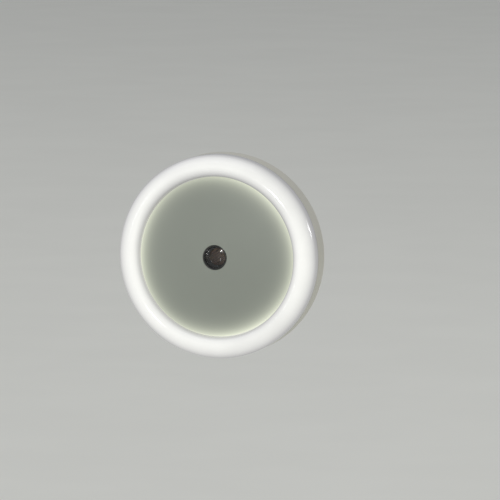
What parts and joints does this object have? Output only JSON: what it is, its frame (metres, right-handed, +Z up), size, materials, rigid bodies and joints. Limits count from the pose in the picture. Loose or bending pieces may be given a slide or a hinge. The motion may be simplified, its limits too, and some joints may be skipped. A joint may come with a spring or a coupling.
{
  "type": "plug-in night light",
  "caption": "Round plug-in night light with a glowing ring, a domed face disc, a central dusk sensor and a flat two-pin plug neck.",
  "frame": {"origin": "middle of the plug's mating face, halfway between the two pins", "axes": "+Y along the pins, out of the plug; -Y is the way the face looks; +Z up; +X to the right seen from the front"},
  "size_m": [0.062, 0.0621, 0.062],
  "materials": {
    "housing_plastic": "off-white moulded plastic, satin, a little translucent at the rim",
    "opal_plastic": "glossy opal diffuser, lit from inside",
    "face_plastic": "fine satin off-white, lit at its edge by the ring",
    "black_plastic": "black moulded plastic",
    "clear_window": "clear polished window",
    "cell_ceramic": "resin-coated ceramic",
    "cell_track": "reddish-brown sensing film",
    "tinned_wire": "tinned copper",
    "board_laminate": "green solder resist on glass-fibre laminate",
    "led_white": "white reflective package",
    "led_phosphor": "yellow phosphor in clear resin",
    "capacitor_case": "moulded box",
    "capacitor_can": "drawn aluminium can",
    "resistor_coat": "lacquered",
    "diode_glass": "amber body",
    "solder": "bright solder",
    "nickel_brass": "nickel-plated brass",
    "sleeve_plastic": "off-white insulating sleeve",
    "clamp_plastic": "grey moulded plate",
    "screw_steel": "zinc-plated steel",
    "brown_insulation": "brown insulation",
    "blue_insulation": "blue insulation",
    "copper": "bare copper"
  },
  "bodies": {
    "root": {"rear_housing": "housing_plastic", "light_ring": "opal_plastic", "face_disc": "face_plastic", "sensor_collar": "black_plastic", "sensor_window": "clear_window", "photocell_body": "cell_ceramic", "photocell_track": "cell_track", "photocell_leads": "tinned_wire", "circuit_board": "board_laminate", "led_packages": "led_white", "led_phosphors": "led_phosphor", "dropper_capacitor": "capacitor_case", "dropper_capacitor_leads": "tinned_wire", "smoothing_capacitor": "capacitor_can", "smoothing_capacitor_base": "black_plastic", "rectifier_body": "black_plastic", "rectifier_legs": "tinned_wire", "fusible_resistor": "resistor_coat", "fusible_resistor_leads": "tinned_wire", "chip_resistors": "black_plastic", "driver_transistor": "black_plastic", "zener_diode": "diode_glass", "solder_joints": "solder", "plug_pin_left": "nickel_brass", "plug_pin_right": "nickel_brass", "pin_sleeve_left": "sleeve_plastic", "pin_sleeve_right": "sleeve_plastic", "pin_clamp": "clamp_plastic", "clamp_screw": "screw_steel", "live_wire": "brown_insulation", "neutral_wire": "blue_insulation", "wire_cores": "copper", "housing_screws": "screw_steel"}
  },
  "joints": []
}
